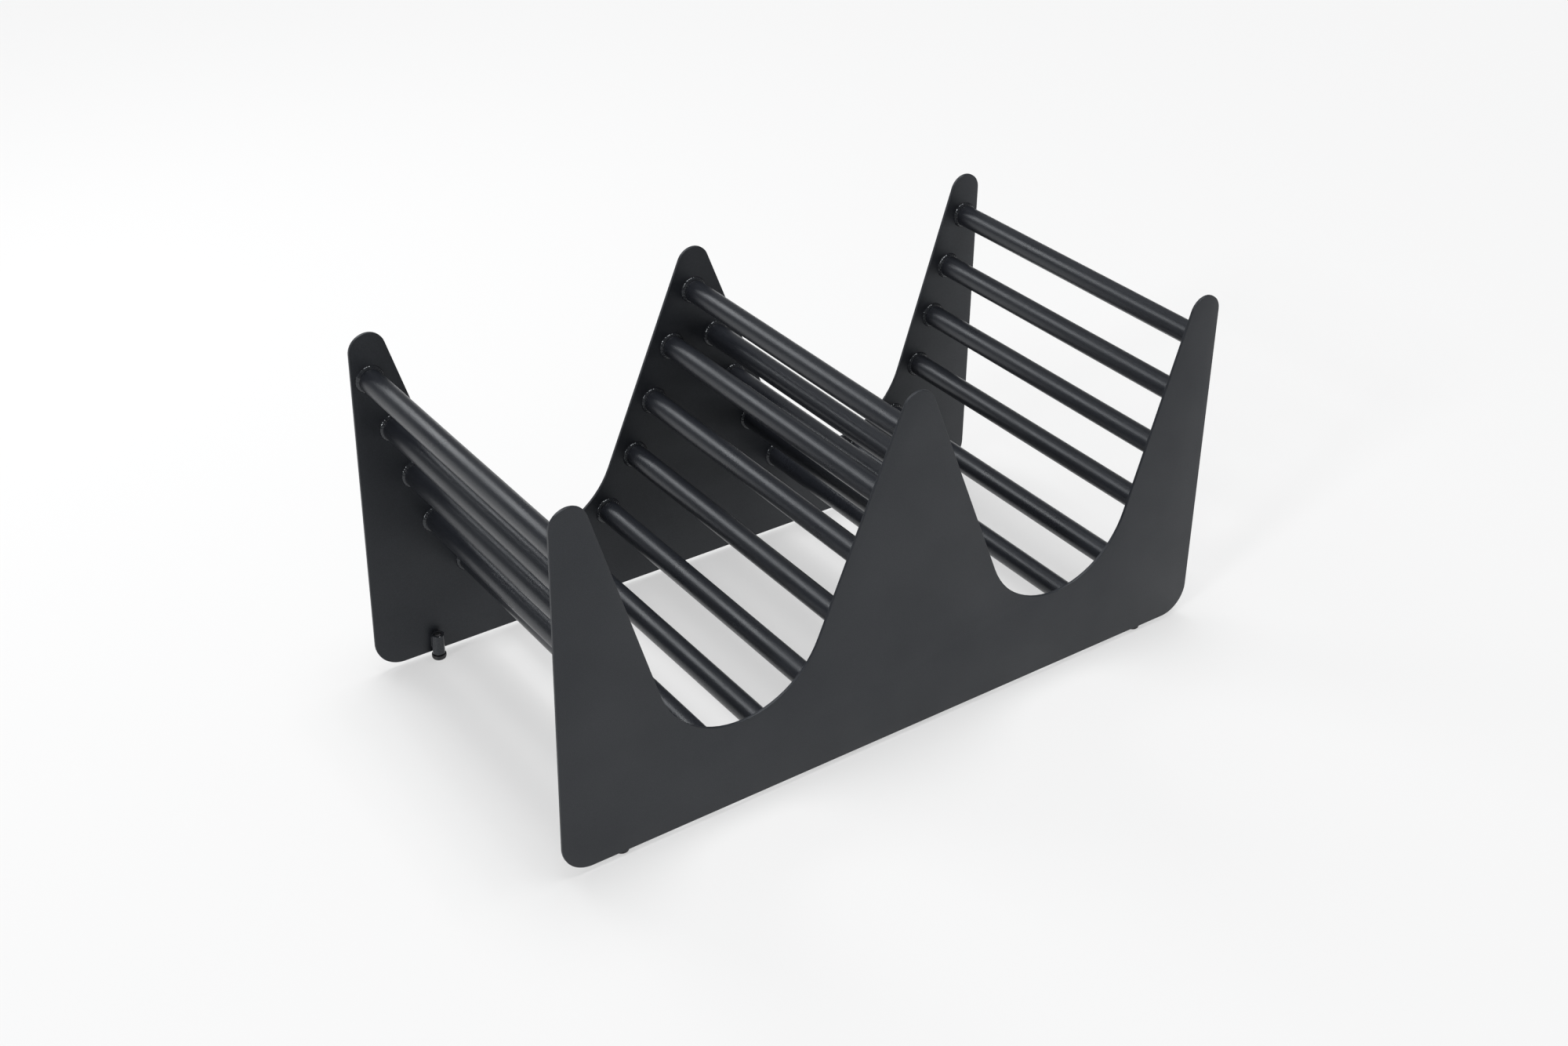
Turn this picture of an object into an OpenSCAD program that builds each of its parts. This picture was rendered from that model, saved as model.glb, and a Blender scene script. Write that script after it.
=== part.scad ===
// Firewood log rack: two cut steel side plates with three peaks and two valleys,
// joined by round steel rails that line the valleys and carry the logs.
// It stands on four levelling screws. Millimetres, +Z up; the origin is on the floor
// under the middle of the rack, X runs along the side plates and Y across them.

/* [Rack] */
// Length of the side plates
rack_length = 610; // [540:5:800]
// Depth over the outer faces of both side plates
rack_depth = 304; // [200:2:500]

/* [Side plates] */
// Height of the peaks above the plate's bottom edge
plate_height = 301; // [250:1:380]
// Thickness of the steel sheet
plate_thickness = 2.5; // [1.5:0.5:5]
// Radius of the round tip of each peak
tip_radius = 15; // [12:0.5:20]
// Radius of the round bottom corners
corner_radius = 24.5; // [10:0.5:35]
// Radius of the round bottom of each valley
valley_radius = 73; // [55:1:80]
// Height of the valley's lowest point above the plate's bottom edge
valley_floor = 72.5; // [55:0.5:95]
// Angle between neighbouring points of the cut outline's arcs, in degrees
arc_step = 3; // [2:1:6]

/* [Rails] */
// Outside diameter of the rail tube
rail_diameter = 19; // [14:0.5:22]
// Wall of the rail tube
rail_wall = 1.5; // [1:0.1:2.5]
// Distance from the valley's cut edge to a rail's centre line
rail_inset = 21.5; // [18:0.5:28]
// Distance from the top of a peak down to its top rail's centre line
top_rail_drop = 39; // [30:1:60]
// Angle between neighbouring rails round the bottom of a valley, in degrees
floor_rail_angle = 29.3; // [26:0.1:32]
// Rails on each slope between the top rail and the four round the bottom
slope_rails = 3; // [2:1:4]

/* [Welds] */
// Leg of the bead round each rail end
rail_bead = 2.6; // [1.5:0.1:4]
// Leg of the beads that hold the coupling nuts
nut_bead = 1.6; // [1:0.1:2.5]
// Length of the beads that hold the coupling nuts
nut_bead_length = 12; // [6:1:16]

/* [Levelling feet] */
// Distance from the plate's end to a foot's axis
foot_inset = 52; // [35:1:80]
// Width of the coupling nut across its flats
nut_width = 10; // [9:0.5:13]
// Height of the coupling nut
nut_height = 18; // [14:1:24]
// Height of the nut's lower end above the plate's bottom edge
nut_rise = 0.6; // [0:0.1:3]
// Chamfer round both ends of the coupling nut
nut_chamfer = 0.9; // [0.5:0.1:1.2]
// Diameter of the levelling screw's thread
thread_diameter = 6; // [5:0.5:7]
// Radial clearance between the screw's thread and the nut
thread_clearance = 0.05; // [0.02:0.01:0.1]
// How far a foot screws out
foot_travel = 10; // [4:1:12]
// Length of thread that stays in the nut when the foot is fully out
thread_engagement = 8.5; // [3:0.5:10]
// Diameter of the knurled disc
disc_diameter = 12; // [11:0.5:16]
// Thickness of the knurled disc
disc_thickness = 2.6; // [2:0.1:5]
// Gap between the plate's bottom edge and the disc when the screw is fully in
disc_gap = 0.2; // [0.1:0.1:1]
// Diameter of the glide pad under the disc
pad_diameter = 11; // [9:0.5:14]
// Thickness of the glide pad
pad_thickness = 1.1; // [0.8:0.1:3]
// Gap between the disc and the glide pad
pad_gap = 0.1; // [0.05:0.05:0.3]
// Diameter of the spigot on which the glide pad sits
spigot_diameter = 4; // [3:0.5:5]
// Radial clearance between the spigot and the pad
spigot_clearance = 0.05; // [0.02:0.01:0.1]
// Distance that the spigot's end stays above the floor
spigot_recess = 0.3; // [0.2:0.1:0.5]

/* [Hidden] */
$fn = 96;
rail_length = rack_depth - 2 * plate_thickness;
inner_face = rail_length / 2;
disc_top = pad_thickness + pad_gap + disc_thickness;
plate_bottom = disc_top + disc_gap;
nut_bottom = plate_bottom + nut_rise;
thread_top = nut_bottom + foot_travel + thread_engagement;

// The cut outline, in the plate's plane: x from the middle, z from the bottom edge
tip_z = plate_height - tip_radius;
end_tip_x = rack_length / 2 - tip_radius;
valley_x = rack_length / 4;
valley_z = valley_floor + valley_radius;

// How far the edge between a tip and a valley leans from upright: it is the line that
// touches the tip's circle on one side and the valley's circle on the other
function lean(across) =
    let (down = tip_z - valley_z, apart = norm([across, down]))
    acos((tip_radius + valley_radius) / apart) - atan2(down, across);
end_lean = lean(end_tip_x - valley_x);
middle_lean = lean(valley_x);

// Points round part of a circle
function arc(centre, radius, from, to) =
    let (steps = ceil(abs(to - from) / arc_step))
    [for (i = [0 : steps])
        let (a = from + (to - from) * i / steps)
        centre + radius * [cos(a), sin(a)]];

plate_outline = concat(
    arc([-rack_length / 2 + corner_radius, corner_radius], corner_radius, 180, 270),
    arc([rack_length / 2 - corner_radius, corner_radius], corner_radius, 270, 360),
    arc([end_tip_x, tip_z], tip_radius, 0, 180 - end_lean),
    arc([valley_x, valley_z], valley_radius, -end_lean, middle_lean - 180),
    arc([0, tip_z], tip_radius, middle_lean, 180 - middle_lean),
    arc([-valley_x, valley_z], valley_radius, -middle_lean, end_lean - 180),
    arc([-end_tip_x, tip_z], tip_radius, end_lean, 180));

// Rail centres run parallel to the valley's edge, inside the plate
rail_path_radius = valley_radius + rail_inset;
top_rail_z = plate_height - top_rail_drop;
high_floor_angle = 1.5 * floor_rail_angle;
high_floor_z = valley_z - rail_path_radius * cos(high_floor_angle);

// One slope's rails, upwards: side is -1 left of the valley and +1 right of it
function slope_centres(side, edge_lean) =
    [for (i = [slope_rails : -1 : 1])
        let (z = top_rail_z + (high_floor_z - top_rail_z) * i / (slope_rails + 1),
             off = (rail_path_radius + (z - valley_z) * sin(edge_lean)) / cos(edge_lean))
        [side * off, z]];
function reversed(list) = [for (i = [len(list) - 1 : -1 : 0]) list[i]];

// The left valley's rails from left to right, as x from the valley's middle
left_valley = concat(
    reversed(slope_centres(-1, end_lean)),
    [for (i = [-1.5 : 1 : 1.5])
        [rail_path_radius * sin(i * floor_rail_angle),
         valley_z - rail_path_radius * cos(i * floor_rail_angle)]],
    slope_centres(1, middle_lean));
right_valley = reversed([for (p = left_valley) [-p[0], p[1]]]);

rail_centres = concat(
    [[-end_tip_x, top_rail_z]],
    [for (p = left_valley) p - [valley_x, 0]],
    [[0, top_rail_z]],
    [for (p = right_valley) p + [valley_x, 0]],
    [[end_tip_x, top_rail_z]]);
rail_count = len(rail_centres);

// Foot places: name, side along X, side along Y
feet = [
    ["front_left", -1, -1],
    ["front_right", 1, -1],
    ["rear_left", -1, 1],
    ["rear_right", 1, 1]];
foot_x = rack_length / 2 - foot_inset;
foot_y = inner_face - nut_width / 2;

// Corner of the nut's flat that lies on the plate, and a rail's two-digit name
nut_flat = nut_width / sqrt(3);
function rail_name(i) = str("rail_", i < 9 ? "0" : "", i + 1);

// A cut steel sheet with its inner face towards the middle of the rack
module side_plate(side) {
    color("#3b3d40")
        translate([0, side < 0 ? -inner_face : rack_depth / 2, plate_bottom])
            rotate([90, 0, 0])
                linear_extrude(plate_thickness)
                    polygon(plate_outline);
}

// A round tube that butts against both side plates
module rail(i) {
    color("#2b2d30")
        translate([rail_centres[i][0], inner_face, plate_bottom + rail_centres[i][1]])
            rotate([90, 0, 0])
                difference() {
                    cylinder(d = rail_diameter, h = rail_length);
                    translate([0, 0, -1])
                        cylinder(d = rail_diameter - 2 * rail_wall, h = rail_length + 2);
                }
}

// A fillet bead round a rail's end, standing on z = 0
module ring_bead() {
    rotate_extrude()
        translate([rail_diameter / 2, 0])
            polygon([for (p = [[0, 0], [1, 0], [0.8, 0.4], [0.4, 0.8], [0, 1]])
                p * rail_bead]);
}

// The beads at one end of every rail: side is -1 at the front and +1 at the rear
module rail_beads(side) {
    color("#2b2d30")
        for (c = rail_centres)
            translate([c[0], side * inner_face, plate_bottom + c[1]])
                rotate([side * 90, 0, 0])
                    ring_bead();
}

// Puts a foot's pieces on their axis, with z = 0 on the floor
module at_foot(f) {
    translate([f[1] * foot_x, f[2] * foot_y, 0])
        children();
}

// A long hexagon nut with chamfered ends, one flat against the plate
module coupling_nut(f) {
    corner = nut_flat;
    bore = thread_diameter / 2 + thread_clearance;
    mouth = bore + nut_chamfer;
    color("#26272a")
        at_foot(f)
            translate([0, 0, nut_bottom])
                difference() {
                    intersection() {
                        cylinder(r = corner, h = nut_height, $fn = 6);
                        rotate_extrude()
                            polygon([
                                [0, 0],
                                [corner - nut_chamfer, 0],
                                [corner, nut_chamfer / 2],
                                [corner, nut_height - nut_chamfer / 2],
                                [corner - nut_chamfer, nut_height],
                                [0, nut_height]]);
                    }
                    translate([0, 0, -1])
                        cylinder(r = bore, h = nut_height + 2);
                    translate([0, 0, nut_height - nut_chamfer])
                        cylinder(r1 = bore, r2 = mouth, h = nut_chamfer);
                }
}

// The two beads in the grooves between one nut and its plate
module nut_bead_pair(f) {
    face = [cos(60), sin(60)] * nut_bead;
    at_foot(f)
        for (side = [-1, 1])
            translate([0, 0, nut_bottom + (nut_height - nut_bead_length) / 2])
                scale([1, -f[2], 1])
                    translate([side * nut_flat / 2, -nut_width / 2])
                        linear_extrude(nut_bead_length)
                            polygon([[0, 0], [side * nut_bead, 0], [side * face[0], face[1]]]);
}

// The beads of both nuts on one plate
module nut_beads(side) {
    color("#2b2d30")
        for (f = feet)
            if (f[2] == side)
                nut_bead_pair(f);
}

// A screw with a disc head below its thread and a spigot for the glide pad
module levelling_screw(f) {
    disc_bottom = disc_top - disc_thickness;
    edge = disc_diameter / 2;
    ease = disc_thickness / 8;
    thread_r = thread_diameter / 2;
    color("#1f2022")
        at_foot(f)
            rotate_extrude()
                polygon([
                    [0, spigot_recess],
                    [spigot_diameter / 2, spigot_recess],
                    [spigot_diameter / 2, disc_bottom],
                    [edge - ease, disc_bottom],
                    [edge, disc_bottom + ease],
                    [edge, disc_top - ease],
                    [edge - ease, disc_top],
                    [thread_r, disc_top],
                    [thread_r, thread_top - ease],
                    [thread_r - ease, thread_top],
                    [0, thread_top]]);
}

// A plastic washer that stays still on the floor while the screw turns in it
module glide_pad(f) {
    color("#151515")
        at_foot(f)
            difference() {
                cylinder(d = pad_diameter, h = pad_thickness);
                translate([0, 0, -1])
                    cylinder(r = spigot_diameter / 2 + spigot_clearance, h = pad_thickness + 2);
            }
}

side_plate(-1);  // side_plate_front
side_plate(1);  // side_plate_rear
for (i = [0 : rail_count - 1])
    rail(i);
rail_beads(-1);  // rail_beads_front
rail_beads(1);  // rail_beads_rear
nut_beads(-1);  // nut_beads_front
nut_beads(1);  // nut_beads_rear
for (f = feet) {
    coupling_nut(f);
    levelling_screw(f);
    glide_pad(f);
}
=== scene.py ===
"""Firewood log rack: two cut steel side plates, the rails that line their valleys, the
welds that hold them, and four levelling feet. Metres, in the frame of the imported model."""
import math

import bpy
import numpy as np
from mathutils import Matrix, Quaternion, Vector


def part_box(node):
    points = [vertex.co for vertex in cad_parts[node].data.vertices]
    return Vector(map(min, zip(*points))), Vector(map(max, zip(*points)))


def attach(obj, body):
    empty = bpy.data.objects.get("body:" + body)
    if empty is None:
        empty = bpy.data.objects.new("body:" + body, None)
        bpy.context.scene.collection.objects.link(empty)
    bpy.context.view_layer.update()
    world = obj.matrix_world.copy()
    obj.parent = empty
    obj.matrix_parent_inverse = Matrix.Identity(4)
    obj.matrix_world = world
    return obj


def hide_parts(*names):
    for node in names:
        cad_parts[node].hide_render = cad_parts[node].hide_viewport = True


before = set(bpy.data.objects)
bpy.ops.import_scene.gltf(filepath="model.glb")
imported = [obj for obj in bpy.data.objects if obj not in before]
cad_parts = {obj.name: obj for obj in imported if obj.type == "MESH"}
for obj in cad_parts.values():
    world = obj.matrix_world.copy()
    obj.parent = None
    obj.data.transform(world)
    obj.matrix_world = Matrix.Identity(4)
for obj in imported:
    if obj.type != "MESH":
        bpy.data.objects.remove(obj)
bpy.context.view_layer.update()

# ---- Camera ------------------------------------------------------------------------
# It stands off the rack's front left corner, above it, and looks down along the rack.
# The right side of the camera is held a little high, so level lines tilt slightly.
camera_place = Vector((-0.8473, -1.1740, 1.0097))
camera_target = Vector((0.0395, 0.0, 0.2341))
camera_roll = math.radians(1.694)

studio_camera = bpy.data.objects.new("studio_camera", bpy.data.cameras.new("studio_camera"))
studio_camera.data.lens = 47.96
studio_camera.data.shift_x = -0.034
studio_camera.data.shift_y = -0.090
studio_camera.location = camera_place
studio_camera.rotation_mode = "QUATERNION"
studio_camera.rotation_quaternion = (
    camera_target - camera_place
).to_track_quat("-Z", "Y") @ Quaternion((0, 0, 1), camera_roll)
bpy.context.scene.collection.objects.link(studio_camera)
bpy.context.scene.camera = studio_camera

# ---- Studio floor and light ----------------------------------------------------------
# A pale floor lit from inside, as a light table is, so that shadows on it stay soft and
# pale. One broad light hangs above and a small one shines from the left. A long lamp
# high up behind the rack draws the bright stripe along every rail.
floor_half = 40.0
floor_colour = (0.33, 0.33, 0.33, 1)
floor_glow = 0.51
room_colour = (0.97, 0.985, 1.0, 1)
room_strength = 0.22
far_lights = [
    # name, direction towards the light, width of the light as seen from the rack, strength
    ("overhead_light", (0.06, 0.04, 1.0), 34, 2.8),
    ("left_light", (-0.85, -0.25, 0.42), 9, 0.9),
]
long_lamp_place = Vector((-0.47, 1.10, 1.15))
long_lamp_length = 0.80
long_lamp_width = 0.40
long_lamp_power = 5.2


def node_tree(owner):
    """The emptied node tree of a material or world, and a function that adds a node."""
    owner.use_nodes = True
    tree = owner.node_tree
    tree.nodes.clear()
    return tree, tree.nodes.new


floor_mesh = bpy.data.meshes.new("studio_floor")
floor_mesh.from_pydata(
    [(x * floor_half, y * floor_half, 0) for x, y in ((-1, -1), (1, -1), (1, 1), (-1, 1))],
    [], [(0, 1, 2, 3)])
studio_floor = bpy.data.objects.new("studio_floor", floor_mesh)
bpy.context.scene.collection.objects.link(studio_floor)
floor_paint = bpy.data.materials.new("studio_floor_paint")
tree, add = node_tree(floor_paint)
diffuse = add("ShaderNodeBsdfDiffuse")
diffuse.inputs["Color"].default_value = floor_colour
glow = add("ShaderNodeEmission")
glow.inputs["Strength"].default_value = floor_glow
both = add("ShaderNodeAddShader")
output = add("ShaderNodeOutputMaterial")
tree.links.new(diffuse.outputs["BSDF"], both.inputs[0])
tree.links.new(glow.outputs["Emission"], both.inputs[1])
tree.links.new(both.outputs["Shader"], output.inputs["Surface"])
floor_mesh.materials.append(floor_paint)

room = bpy.data.worlds.new("studio_room")
bpy.context.scene.world = room
tree, add = node_tree(room)
background = add("ShaderNodeBackground")
background.inputs["Color"].default_value = room_colour
background.inputs["Strength"].default_value = room_strength
output = add("ShaderNodeOutputWorld")
tree.links.new(background.outputs["Background"], output.inputs["Surface"])

for name, towards, width, strength in far_lights:
    light = bpy.data.lights.new(name, "SUN")
    light.angle = math.radians(width)
    light.energy = strength
    lamp = bpy.data.objects.new(name, light)
    lamp.rotation_mode = "QUATERNION"
    lamp.rotation_quaternion = Vector(towards).to_track_quat("Z", "Y")
    bpy.context.scene.collection.objects.link(lamp)
long_light = bpy.data.lights.new("long_light", "AREA")
long_light.shape = "RECTANGLE"
long_light.size = long_lamp_length
long_light.size_y = long_lamp_width
long_light.energy = long_lamp_power
long_lamp = bpy.data.objects.new("long_lamp", long_light)
long_lamp.location = long_lamp_place
long_lamp.rotation_mode = "QUATERNION"
long_lamp.rotation_quaternion = long_lamp_place.to_track_quat("Z", "Y")
long_lamp.visible_camera = False
bpy.context.scene.collection.objects.link(long_lamp)
bpy.context.scene.view_settings.view_transform = "Standard"

# ---- Side plates -----------------------------------------------------------------------
# Each side is a 2.5 mm steel sheet, laser cut to three round peaks and two round valleys.
# Its sharp edges are broken, and it is powder coated dark grey after the rails and the
# nuts are welded to its inner face.
tip_radius = 0.015
corner_radius = 0.0245
valley_radius = 0.073
valley_floor = 0.0725
broken_edge = 0.0004
coat_tint = (0.92, 0.96, 1.0, 1)
arc_points = 28
edge_points = 5


def finished_piece(name, points, faces, coat, body, nodes, sharp=40):
    """A closed mesh from an array of points and lists of faces. If the sum of the signed
    volumes between the origin and the faces is negative, all faces are turned round."""
    volume = 0
    for block in faces:
        ring = points[np.asarray(block)]
        for k in range(1, ring.shape[1] - 1):
            volume += np.einsum(
                "ij,ij->", ring[:, 0], np.cross(ring[:, k], ring[:, k + 1]))
    turned = [np.asarray(block)[:, ::-1 if volume < 0 else 1] for block in faces]
    mesh = bpy.data.meshes.new(name)
    mesh.from_pydata(points.tolist(), [], [f for block in turned for f in block.tolist()])
    mesh.polygons.foreach_set("use_smooth", np.ones(len(mesh.polygons), bool))
    mesh.set_sharp_from_angle(angle=math.radians(sharp))
    mesh.materials.append(coat)
    piece = bpy.data.objects.new(name, mesh)
    bpy.context.scene.collection.objects.link(piece)
    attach(piece, body)
    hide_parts(*nodes)
    return piece


def strip_faces(rows, columns, close_rows=False, close_columns=True):
    """Quads of a grid of points numbered row by row: each point with its right, upper
    right and upper neighbours, going round where the grid is closed."""
    r, c = np.meshgrid(
        np.arange(rows if close_rows else rows - 1),
        np.arange(columns if close_columns else columns - 1), indexing="ij")
    r, c = r.ravel(), c.ravel()
    up, right = (r + 1) % rows, (c + 1) % columns
    return np.stack(
        [r * columns + c, r * columns + right, up * columns + right, up * columns + c], 1)


def powder_coat(name, colour, fleck, roughness, grain, grain_size):
    """Powder coating: flecks of a lighter tone in the base colour, a fine grain that
    lifts the surface, and a slow change of gloss over the piece."""
    fleck_start, fleck_full = 0.42, 0.72
    clouds_per_metre, cloud_low, cloud_high, cloud_gloss = 14, 0.3, 0.7, 0.06
    coat = bpy.data.materials.new(name)
    tree, add = node_tree(coat)
    shader = add("ShaderNodeBsdfPrincipled")
    shader.inputs["IOR"].default_value = 1.5
    shader.inputs["Specular Tint"].default_value = coat_tint
    place = add("ShaderNodeTexCoord")
    fine = add("ShaderNodeTexNoise")
    fine.inputs["Scale"].default_value = 1 / grain_size
    fine.inputs["Detail"].default_value = 3
    slow = add("ShaderNodeTexNoise")
    slow.inputs["Scale"].default_value = clouds_per_metre
    slow.inputs["Detail"].default_value = 4
    flecks = add("ShaderNodeValToRGB")
    flecks.color_ramp.elements[0].position = fleck_start
    flecks.color_ramp.elements[0].color = (*colour, 1)
    flecks.color_ramp.elements[1].position = fleck_full
    flecks.color_ramp.elements[1].color = (*fleck, 1)
    gloss = add("ShaderNodeMapRange")
    gloss.inputs["From Min"].default_value = cloud_low
    gloss.inputs["From Max"].default_value = cloud_high
    gloss.inputs["To Min"].default_value = roughness - cloud_gloss
    gloss.inputs["To Max"].default_value = roughness + cloud_gloss
    lift = add("ShaderNodeBump")
    lift.inputs["Strength"].default_value = 1
    lift.inputs["Distance"].default_value = grain
    output = add("ShaderNodeOutputMaterial")
    for source, target in (
            (place.outputs["Object"], fine.inputs["Vector"]),
            (place.outputs["Object"], slow.inputs["Vector"]),
            (fine.outputs["Fac"], flecks.inputs["Fac"]),
            (flecks.outputs["Color"], shader.inputs["Base Color"]),
            (slow.outputs["Fac"], gloss.inputs["Value"]),
            (gloss.outputs["Result"], shader.inputs["Roughness"]),
            (fine.outputs["Fac"], lift.inputs["Height"]),
            (lift.outputs["Normal"], shader.inputs["Normal"]),
            (shader.outputs["BSDF"], output.inputs["Surface"])):
        tree.links.new(source, target)
    return coat


def cut_outline(length, height, inset):
    """The sheet's outline, pulled in by inset: arcs round the corners, tips and valleys
    with straight lines between. A line that touches a tip and a valley leans by the angle
    whose cosine is both radii over their distance, less the slope of their centre line."""
    tip_z = height - tip_radius
    valley_z = valley_floor + valley_radius
    end_x, valley_x = length / 2 - tip_radius, length / 4

    def lean(across):
        drop = tip_z - valley_z
        apart = math.hypot(across, drop)
        return math.acos((tip_radius + valley_radius) / apart) - math.atan2(drop, across)

    outer, inner = lean(end_x - valley_x), lean(valley_x)
    half = math.pi / 2
    corner_x = length / 2 - corner_radius
    # centre x and z, radius, first and last angle, -1 where inset makes the arc smaller
    arcs = [
        (-corner_x, corner_radius, corner_radius, 2 * half, 3 * half, -1),
        (corner_x, corner_radius, corner_radius, -half, 0, -1),
        (end_x, tip_z, tip_radius, 0, 2 * half - outer, -1),
        (valley_x, valley_z, valley_radius, -outer, inner - 2 * half, 1),
        (0, tip_z, tip_radius, inner, 2 * half - inner, -1),
        (-valley_x, valley_z, valley_radius, -inner, outer - 2 * half, 1),
        (-end_x, tip_z, tip_radius, outer, 2 * half, -1)]
    run = []
    for x, z, radius, start, end, side in arcs:
        angle = np.linspace(start, end, arc_points)
        reach = radius + side * inset
        run.append(np.stack([x + reach * np.cos(angle), z + reach * np.sin(angle)], 1))
    return np.concatenate(run)


def cut_sheet(low, high):
    """The outline carried through the sheet's thickness: a quarter circle pulls it in by
    the radius of the broken edge at either face, and both faces are closed flat."""
    turn = np.linspace(0, math.pi / 2, edge_points)
    inset = broken_edge * (1 - np.sin(turn))
    depth = broken_edge * (1 - np.cos(turn))
    rows = np.concatenate([
        np.stack([inset, low.y + depth], 1),
        np.stack([inset, high.y - depth], 1)[::-1]])
    loops = []
    for pull, y in rows:
        flat = cut_outline(high.x - low.x, high.z - low.z, pull)
        loops.append(np.stack(
            [flat[:, 0], np.full(len(flat), y), flat[:, 1] + low.z], 1))
    count = len(loops[0])
    points = np.concatenate(loops)
    last = (len(rows) - 1) * count
    return points, [
        strip_faces(len(rows), count),
        [list(range(count))[::-1]],
        [list(range(last, last + count))]]


plate_coat = powder_coat(
    "dark_grey_powder_coat", (0.0095, 0.0108, 0.0140), (0.017, 0.019, 0.024),
    roughness=0.48, grain=0.00002, grain_size=0.0007)
for side in ("front", "rear"):
    points, faces = cut_sheet(*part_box(f"side_plate_{side}"))
    finished_piece(
        f"cut_plate_{side}", points, faces, plate_coat, "rack",
        [f"side_plate_{side}"])

# ---- Rails -----------------------------------------------------------------------------
# Twenty-three lengths of 19 mm steel tube butt against both plates: one under each peak
# and the rest along the valleys. Their coat is the same colour, and its grain is coarser.
rail_wall = 0.0015
rail_deburr = 0.0003
rail_sides = 96
rail_count = 23


def turned_body(profile, centre, along, sides, radius_change=None):
    """A closed profile of radius and height carried round an axis. Each point lies at the
    axis plus radius times cosine and sine of the angle, and radius_change adds to it."""
    angle = np.arange(sides) * 2 * math.pi / sides
    radius = np.repeat(profile[:, :1], sides, 1)
    height = np.repeat(profile[:, 1:], sides, 1)
    if radius_change is not None:
        radius = radius + radius_change(angle[None, :], height, radius)
    a, b = radius * np.cos(angle), radius * np.sin(angle)
    lanes = {"y": (a, height, b), "z": (a, b, height)}[along]
    return np.stack([lane.ravel() for lane in lanes], 1) + np.array(centre)


rail_coat = powder_coat(
    "dark_grey_rail_coat", (0.0085, 0.0095, 0.0125), (0.022, 0.024, 0.029),
    roughness=0.30, grain=0.00010, grain_size=0.0006)
rail_places = []
for number in range(1, rail_count + 1):
    low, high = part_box(f"rail_{number:02d}")
    radius = (high.z - low.z) / 2
    profile = np.array([
        (radius - rail_deburr, low.y), (radius, low.y + rail_deburr),
        (radius, high.y - rail_deburr), (radius - rail_deburr, high.y),
        (radius - rail_wall, high.y), (radius - rail_wall, low.y)])
    centre = ((low.x + high.x) / 2, 0, (low.z + high.z) / 2)
    rail_places.append((centre[0], centre[2], radius))
    finished_piece(
        f"rail_tube_{number:02d}", turned_body(profile, centre, "y", rail_sides),
        [strip_faces(len(profile), rail_sides, close_rows=True)],
        rail_coat, "rack", [f"rail_{number:02d}"])

# ---- Weld beads round the rails ----------------------------------------------------------
# Each rail end is welded all round to its plate with a small fillet bead. The bead's
# ripples, uneven toes and stop lumps show through the coat, which pools glossy on them.
# The coat's colour on the welds is painted lighter than on the plates, as painted highlight.
bead_leg = 0.0025
bead_sink = 0.0004
bead_sides = 120
bead_steps = 9
bead_fullness = 1.25
bead_waves = 4
bead_ripples = 27
ripple_drift = 0.7
stop_width = 0.16
# shares of the leg: what every bead has, and what the waves, ripples and lump add
even_share, wave_share, ripple_share, stop_share = 0.86, 0.10, 0.10, 0.22


def rail_bead(x, z, radius, face, inward, chance):
    """A closed bead profile carried round a rail. Its two legs swell and shrink with a few
    slow waves and the ripples, and a rounded lump marks where the weld stopped."""
    angle = np.arange(bead_sides) * 2 * math.pi / bead_sides
    waves = chance.uniform(0, 2 * math.pi, (2, bead_waves))
    slow = np.array([
        sum(np.sin((k + 1) * angle + phase[k]) / (k + 2) for k in range(bead_waves))
        for phase in waves])
    ripple = np.abs(np.sin(bead_ripples * angle / 2 + ripple_drift * slow[0]))
    stop = chance.uniform(0, 2 * math.pi)
    away = np.angle(np.exp(1j * (angle - stop)))
    lump = np.exp(-(away / stop_width) ** 2)
    leg = bead_leg * (
        even_share + wave_share * slow + ripple_share * ripple + stop_share * lump)
    bend = np.linspace(0, math.pi / 2, bead_steps)[:, None]
    out = leg[0] * np.cos(bend) ** bead_fullness
    along = leg[1] * np.sin(bend) ** bead_fullness
    low_edge = np.full((1, bead_sides), -bead_sink)
    out = np.concatenate([out, low_edge, low_edge, out[:1]])
    along = np.concatenate([along, along[-1:], low_edge, low_edge])
    reach = radius + out
    return np.stack([
        x + reach * np.cos(angle),
        np.broadcast_to(face + inward * along, reach.shape),
        z + reach * np.sin(angle)], -1).reshape(-1, 3)


# painted highlight: the weld coat is painted lighter than the plates' coat so that the bead
# arcs show
bead_coat_with_painted_highlight = powder_coat(
    "pooled_coat_on_welds_painted_lighter", (0.012, 0.013, 0.016), (0.024, 0.026, 0.030),
    roughness=0.14, grain=0.00005, grain_size=0.0011)
for side, inward in (("front", 1), ("rear", -1)):
    low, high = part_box(f"side_plate_{side}")
    face = high.y if inward > 0 else low.y
    chance = np.random.default_rng(11 + inward)
    rows = bead_steps + 3  # the bulge, two rows sunk into plate and rail, and one to close
    points, faces = [], []
    for number, (x, z, radius) in enumerate(rail_places):
        points.append(rail_bead(x, z, radius, face, inward, chance))
        faces.append(strip_faces(rows, bead_sides, close_rows=True)
                     + number * rows * bead_sides)
    finished_piece(
        f"weld_rings_{side}", np.concatenate(points), [np.concatenate(faces)],
        bead_coat_with_painted_highlight, "rack", [f"rail_beads_{side}"], sharp=60)

# ---- Coupling nuts -----------------------------------------------------------------------
# A long M6 hexagon nut stands against each lower corner of the inner faces, one flat on
# the plate. Both ends are chamfered, and the coat lies thick and glossy on it. Its colour
# is painted lighter than the plates' coat, as painted light on the nut's faces.
nut_chamfer = 0.0012
chamfer_slope = 0.55
chamfer_steps = 7
nut_corner_round = 0.00035
nut_mouth = 0.0005
thread_pitch = 0.001
thread_clearance = 0.00005
nut_rows_per_pitch = 8
screw_radius = 0.003
nut_groove = 0.0004
nut_sides = 144
foot_names = ("front_left", "front_right", "rear_left", "rear_right")


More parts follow.
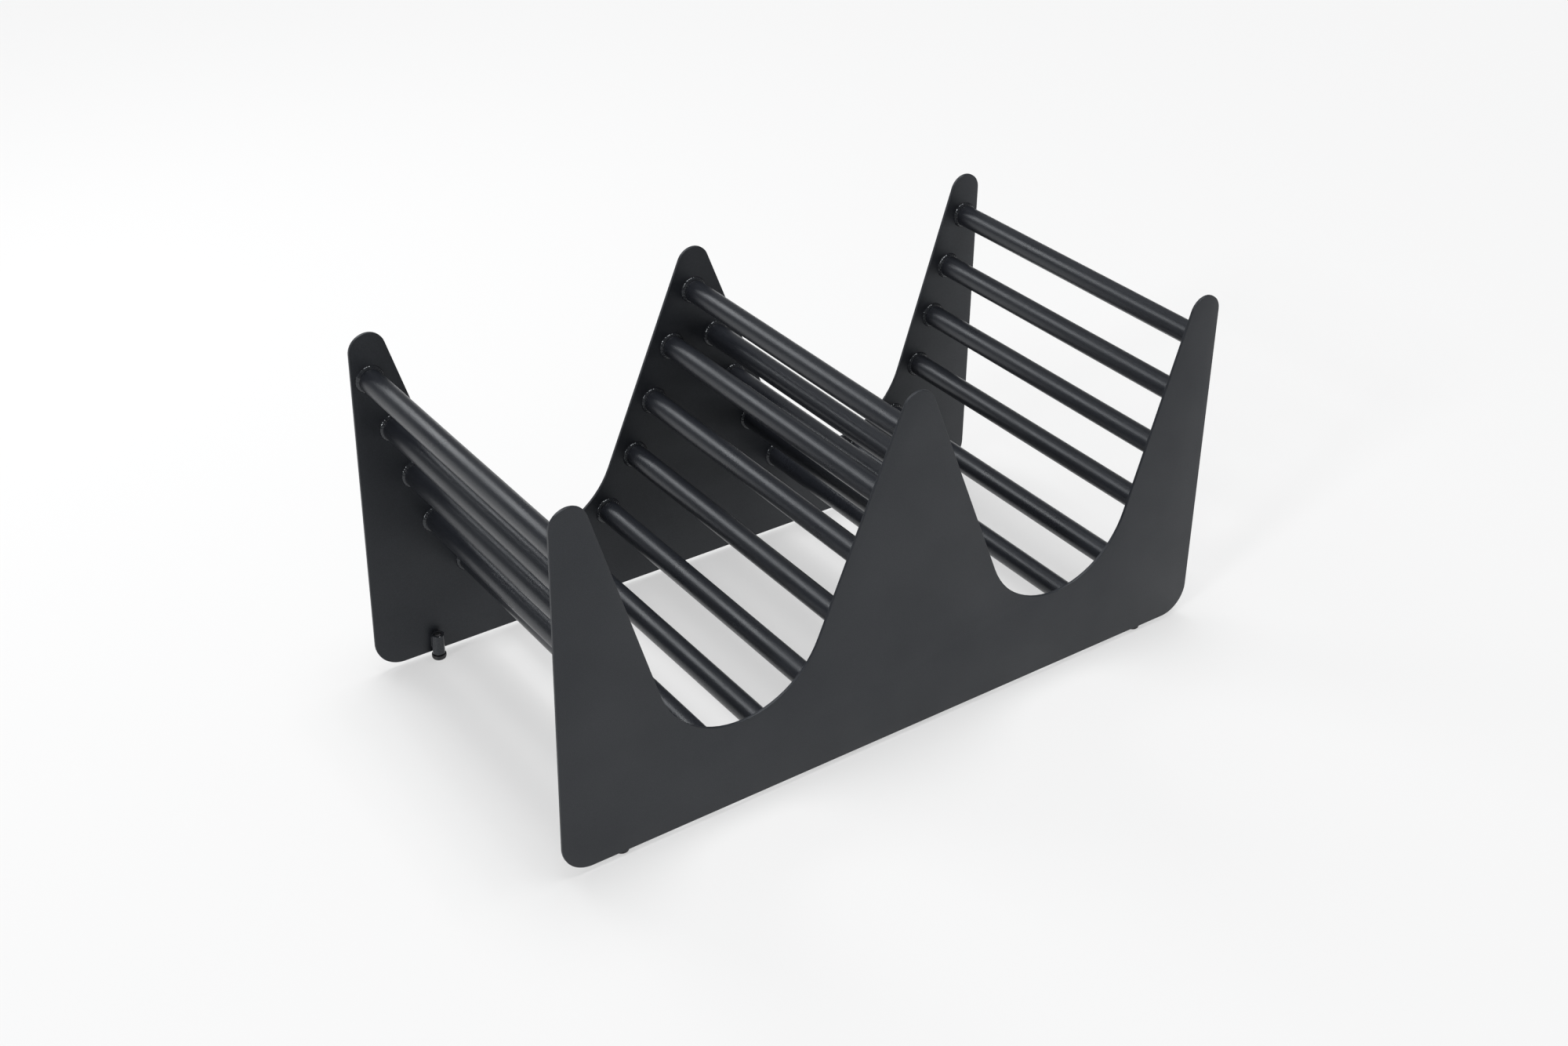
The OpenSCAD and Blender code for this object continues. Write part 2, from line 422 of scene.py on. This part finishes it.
def thread_wave(angle, height):
    """A triangle wave from 0 to 1 and back that climbs one pitch for each turn."""
    phase = (height / thread_pitch - angle / (2 * math.pi)) % 1
    return 1 - np.abs(2 * phase - 1)


def hexagon_reach(angle, flat_half, rounding):
    """Distance from the axis to a hexagon's side: half its width over the cosine of the
    angle from the nearest flat's middle, less what the rounding takes off the corners."""
    from_flat = (angle + math.pi / 6) % (math.pi / 3) - math.pi / 6
    sharp = flat_half / np.cos(from_flat)
    limit = flat_half / math.cos(math.pi / 6) - rounding
    blend = rounding / 4
    return -np.logaddexp(-sharp / blend, -limit / blend) * blend


# painted light: the plates' coat, painted about twice as light to lift the nut's shaded faces
nut_coat_with_painted_light = powder_coat(
    "glossy_coat_on_nuts_painted_lighter", (0.020, 0.022, 0.026), (0.034, 0.037, 0.042),
    roughness=0.16, grain=0.00003, grain_size=0.0012)
for foot in foot_names:
    low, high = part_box(f"coupling_nut_{foot}")
    flat_half = (high.y - low.y) / 2
    corner = flat_half / math.cos(math.pi / 6)
    centre = ((low.x + high.x) / 2, (low.y + high.y) / 2, 0)
    bore = screw_radius + thread_clearance
    bottom, top = low.z, high.z
    angle = np.arange(nut_sides) * 2 * math.pi / nut_sides
    # outer wall, from the bottom chamfer up to the top chamfer
    rise = np.linspace(0, 1, chamfer_steps)
    cone = corner - nut_chamfer * (1 - rise)
    climb = nut_chamfer * chamfer_slope * rise
    heights = np.concatenate([bottom + climb, top - climb[::-1]])
    cones = np.concatenate([cone, cone[::-1]])
    side_reach = hexagon_reach(angle + math.pi / 6, flat_half, nut_corner_round)
    outer = np.minimum(side_reach[None, :], cones[:, None])
    # bore, from the top mouth down to the bottom mouth, with the thread's groove
    drop = np.arange(top, bottom - 1e-9, -thread_pitch / nut_rows_per_pitch)
    near_end = np.minimum(top - drop, drop - bottom)
    mouth = np.clip(nut_mouth - near_end, 0, None)[:, None]
    inner = bore + np.maximum(
        mouth, nut_groove * thread_wave(angle[None, :], drop[:, None]))
    reach = np.concatenate([outer, inner])
    height = np.repeat(np.concatenate([heights, drop])[:, None], nut_sides, 1)
    points = np.stack([
        (reach * np.cos(angle)).ravel(), (reach * np.sin(angle)).ravel(),
        height.ravel()], 1) + np.array(centre)
    finished_piece(
        f"long_nut_{foot}", points,
        [strip_faces(len(reach), nut_sides, close_rows=True)],
        nut_coat_with_painted_light, "rack", [f"coupling_nut_{foot}"], sharp=25)

# ---- Weld beads beside the nuts ------------------------------------------------------------
# Two short beads fill the grooves between each nut and its plate and hold the nut there.
# They are rippled like the rings round the rails, under the same coat.
seam_leg = 0.0016
seam_length = 0.012
seam_steps = 60
seam_bend = 7
seam_tip = 0.02
seam_end_power = 6
seam_ripples = 5.5
seam_even_share, seam_ripple_share = 0.85, 0.12


def nut_seam(x, y, foot_z, across, inward, chance):
    """A closed bead profile carried up a straight line: a bulge between the plate and the
    nut's slanted flat, which keeps its size along the middle and closes at both ends."""
    t = np.linspace(0, 1, seam_steps)
    ends = np.sqrt(np.clip(1 - np.abs(2 * t - 1) ** seam_end_power, seam_tip ** 2, None))
    ripple = np.abs(np.sin(t * seam_ripples * math.pi + chance.uniform(0, 3)))
    size = seam_leg * ends * (seam_even_share + seam_ripple_share * ripple)
    turn = np.linspace(0, math.pi / 3, seam_bend)
    rim = np.stack([np.cos(turn), np.sin(turn)], 1)
    # its hidden side, sunk into the nut and the plate, in shares of the leg
    sunk = np.array([(-0.25, 0.30), (-0.25, -0.18), (1.0, -0.18)])
    shape = np.concatenate([rim, sunk])
    out = size[:, None] * shape[None, :, 0]
    lift = size[:, None] * shape[None, :, 1]
    z = foot_z + seam_length * (t - 0.5)
    return np.stack([
        x + across * out, y + inward * lift,
        np.repeat(z[:, None], len(shape), 1)], -1).reshape(-1, 3)


for side, inward in (("front", 1), ("rear", -1)):
    chance = np.random.default_rng(31 + inward)
    points, faces, start = [], [], 0
    for foot in (f for f in foot_names if f.startswith(side)):
        low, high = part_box(f"coupling_nut_{foot}")
        plate_low, plate_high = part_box(f"side_plate_{side}")
        face = plate_high.y if inward > 0 else plate_low.y
        half_flat = (high.y - low.y) / 2 * math.tan(math.pi / 6)
        for across in (-1, 1):
            seam = nut_seam(
                (low.x + high.x) / 2 + across * half_flat, face,
                (low.z + high.z) / 2, across, inward, chance)
            columns = len(seam) // seam_steps
            faces.append(strip_faces(seam_steps, columns) + start)
            caps = np.arange(columns) + start
            end_caps = caps + (seam_steps - 1) * columns
            faces.append(np.stack([caps[::-1], end_caps]))
            points.append(seam)
            start += len(seam)
    finished_piece(
        f"nut_weld_seams_{side}", np.concatenate(points), faces,
        bead_coat_with_painted_highlight, "rack", [f"nut_beads_{side}"], sharp=60)

# ---- Levelling screws ----------------------------------------------------------------------
# Each foot is a blackened M6 screw with a straight-knurled disc under its thread. Turned
# by the disc, it runs in and out of the coupling nut. A spigot below holds the pad.
knurl_teeth = 48
knurl_depth = 0.00022
knurl_rows = 9
disc_ease = 0.0003
ease_steps = 5
disc_gap = 0.0002
pad_gap = 0.0001
plate_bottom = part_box("side_plate_front")[0].z
thread_root = 0.00055
thread_sink = 0.0004
thread_taper = 0.0006
screw_rows_per_pitch = 12
spigot_radius = 0.002
spigot_ease = 0.0002
screw_sides = 240
thread_sides = 60


def blackened_steel(name, colour, worn, roughness):
    """Black oxide on steel: brushed lines round the axis, and paler patches where the
    knurl and the crests of the thread have been handled."""
    lines_per_metre, lines_stretch, line_depth = 700, (1, 1, 9), 0.00002
    patches_per_metre, patch_start, patch_full, patch_gloss = 320, 0.45, 0.75, 0.1
    finish = bpy.data.materials.new(name)
    tree, add = node_tree(finish)
    shader = add("ShaderNodeBsdfPrincipled")
    shader.inputs["Metallic"].default_value = 0.3
    place = add("ShaderNodeTexCoord")
    stretch = add("ShaderNodeMapping")
    stretch.inputs["Scale"].default_value = lines_stretch
    lines = add("ShaderNodeTexNoise")
    lines.inputs["Scale"].default_value = lines_per_metre
    lines.inputs["Detail"].default_value = 3
    patches = add("ShaderNodeTexNoise")
    patches.inputs["Scale"].default_value = patches_per_metre
    patches.inputs["Detail"].default_value = 4
    tone = add("ShaderNodeValToRGB")
    tone.color_ramp.elements[0].position = patch_start
    tone.color_ramp.elements[0].color = (*colour, 1)
    tone.color_ramp.elements[1].position = patch_full
    tone.color_ramp.elements[1].color = (*worn, 1)
    gloss = add("ShaderNodeMapRange")
    gloss.inputs["To Min"].default_value = roughness - patch_gloss
    gloss.inputs["To Max"].default_value = roughness + patch_gloss
    lift = add("ShaderNodeBump")
    lift.inputs["Distance"].default_value = line_depth
    output = add("ShaderNodeOutputMaterial")
    for source, target in (
            (place.outputs["Object"], stretch.inputs["Vector"]),
            (stretch.outputs["Vector"], lines.inputs["Vector"]),
            (place.outputs["Object"], patches.inputs["Vector"]),
            (patches.outputs["Fac"], tone.inputs["Fac"]),
            (tone.outputs["Color"], shader.inputs["Base Color"]),
            (patches.outputs["Fac"], gloss.inputs["Value"]),
            (gloss.outputs["Result"], shader.inputs["Roughness"]),
            (lines.outputs["Fac"], lift.inputs["Height"]),
            (lift.outputs["Normal"], shader.inputs["Normal"]),
            (shader.outputs["BSDF"], output.inputs["Surface"])):
        tree.links.new(source, target)
    return finish


black_screw = blackened_steel(
    "black_oxide_steel", (0.022, 0.022, 0.024), (0.085, 0.085, 0.09), 0.42)
for foot in foot_names:
    low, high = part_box(f"levelling_screw_{foot}")
    centre = ((low.x + high.x) / 2, (low.y + high.y) / 2, 0)
    disc = (high.x - low.x) / 2
    disc_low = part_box(f"glide_pad_{foot}")[1].z + pad_gap
    disc_top = plate_bottom - disc_gap
    ease = np.linspace(0, math.pi / 2, ease_steps)
    knurl_heights = np.linspace(disc_low + disc_ease, disc_top - disc_ease, knurl_rows)
    thread_heights = np.arange(
        disc_top - thread_sink, high.z, thread_pitch / screw_rows_per_pitch)
    profile = np.concatenate([
        [(spigot_radius - spigot_ease, low.z), (spigot_radius, low.z + spigot_ease),
         (spigot_radius, disc_low)],
        np.stack([disc - disc_ease * (1 - np.sin(ease)),
                  disc_low + disc_ease * (1 - np.cos(ease))], 1),
        np.stack([np.full(knurl_rows - 2, disc), knurl_heights[1:-1]], 1),
        np.stack([disc - disc_ease * (1 - np.cos(ease)),
                  disc_top - disc_ease * (1 - np.sin(ease))], 1)])

    def screw_surface(angle, height, radius):
        """The knurl's triangle wave cut into the disc's rim, less where its edges round."""
        tooth = np.abs((angle * knurl_teeth / (2 * math.pi)) % 1 * 2 - 1)
        on_rim = np.clip((radius - disc + disc_ease) / disc_ease, 0, 1)
        return -knurl_depth * tooth * on_rim * (height > disc_low)

    disc_part = turned_body(profile, centre, "z", screw_sides, screw_surface)
    taper = np.clip(thread_heights - high.z + thread_taper, 0, None)
    stem = np.stack([np.full(len(thread_heights), screw_radius) - taper, thread_heights], 1)

    def thread_surface(angle, height, radius):
        """The thread's groove, cut in from its crest."""
        return -thread_root * (1 - thread_wave(angle, height))

    thread_part = turned_body(stem, centre, "z", thread_sides, thread_surface)
    disc_rows, stem_rows = len(profile), len(stem)
    start = disc_rows * screw_sides
    finished_piece(
        f"levelling_foot_{foot}", np.concatenate([disc_part, thread_part]),
        [strip_faces(disc_rows, screw_sides),
         [list(range(screw_sides))[::-1]],
         [list(range(start - screw_sides, start))],
         strip_faces(stem_rows, thread_sides) + start,
         [list(range(start, start + thread_sides))[::-1]],
         [list(range(start + (stem_rows - 1) * thread_sides,
                     start + stem_rows * thread_sides))]],
        black_screw, f"screw_{foot}", [f"levelling_screw_{foot}"], sharp=35)

# ---- Glide pads ------------------------------------------------------------------------------
# A black plastic washer snaps on to each spigot. It stands still on the floor while the
# screw turns in it, and has soft moulded edges and a fine matt grain.
pad_edge = 0.0003
pad_sides = 96


def moulded_plastic(name, colour, roughness):
    """Matt moulded plastic: an even dark tone with slight clouds, and a fine spark grain."""
    clouds_per_metre, cloud_dark, cloud_light, cloud_gloss = 180, 0.8, 1.3, 0.08
    grains_per_metre, grain_depth = 2600, 0.00003
    plastic = bpy.data.materials.new(name)
    tree, add = node_tree(plastic)
    shader = add("ShaderNodeBsdfPrincipled")
    shader.inputs["IOR"].default_value = 1.46
    place = add("ShaderNodeTexCoord")
    clouds = add("ShaderNodeTexNoise")
    clouds.inputs["Scale"].default_value = clouds_per_metre
    grain = add("ShaderNodeTexNoise")
    grain.inputs["Scale"].default_value = grains_per_metre
    tone = add("ShaderNodeValToRGB")
    tone.color_ramp.elements[0].color = (*[c * cloud_dark for c in colour], 1)
    tone.color_ramp.elements[1].color = (*[c * cloud_light for c in colour], 1)
    gloss = add("ShaderNodeMapRange")
    gloss.inputs["To Min"].default_value = roughness - cloud_gloss
    gloss.inputs["To Max"].default_value = roughness + cloud_gloss
    lift = add("ShaderNodeBump")
    lift.inputs["Distance"].default_value = grain_depth
    output = add("ShaderNodeOutputMaterial")
    for source, target in (
            (place.outputs["Object"], clouds.inputs["Vector"]),
            (place.outputs["Object"], grain.inputs["Vector"]),
            (clouds.outputs["Fac"], tone.inputs["Fac"]),
            (tone.outputs["Color"], shader.inputs["Base Color"]),
            (clouds.outputs["Fac"], gloss.inputs["Value"]),
            (gloss.outputs["Result"], shader.inputs["Roughness"]),
            (grain.outputs["Fac"], lift.inputs["Height"]),
            (lift.outputs["Normal"], shader.inputs["Normal"]),
            (shader.outputs["BSDF"], output.inputs["Surface"])):
        tree.links.new(source, target)
    return plastic


pad_plastic = moulded_plastic("black_moulded_plastic", (0.014, 0.014, 0.015), 0.55)
for foot in foot_names:
    low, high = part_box(f"glide_pad_{foot}")
    centre = ((low.x + high.x) / 2, (low.y + high.y) / 2, 0)
    rim = (high.x - low.x) / 2
    hole = spigot_radius + thread_clearance
    ease = np.linspace(0, math.pi / 2, ease_steps)
    profile = np.concatenate([
        [(hole, low.z)],
        np.stack([rim - pad_edge * (1 - np.sin(ease)),
                  low.z + pad_edge * (1 - np.cos(ease))], 1),
        np.stack([rim - pad_edge * (1 - np.cos(ease)),
                  high.z - pad_edge * (1 - np.sin(ease))], 1),
        [(hole, high.z)]])
    finished_piece(
        f"glide_washer_{foot}", turned_body(profile, centre, "z", pad_sides),
        [strip_faces(len(profile), pad_sides, close_rows=True)],
        pad_plastic, f"glide_{foot}", [f"glide_pad_{foot}"])
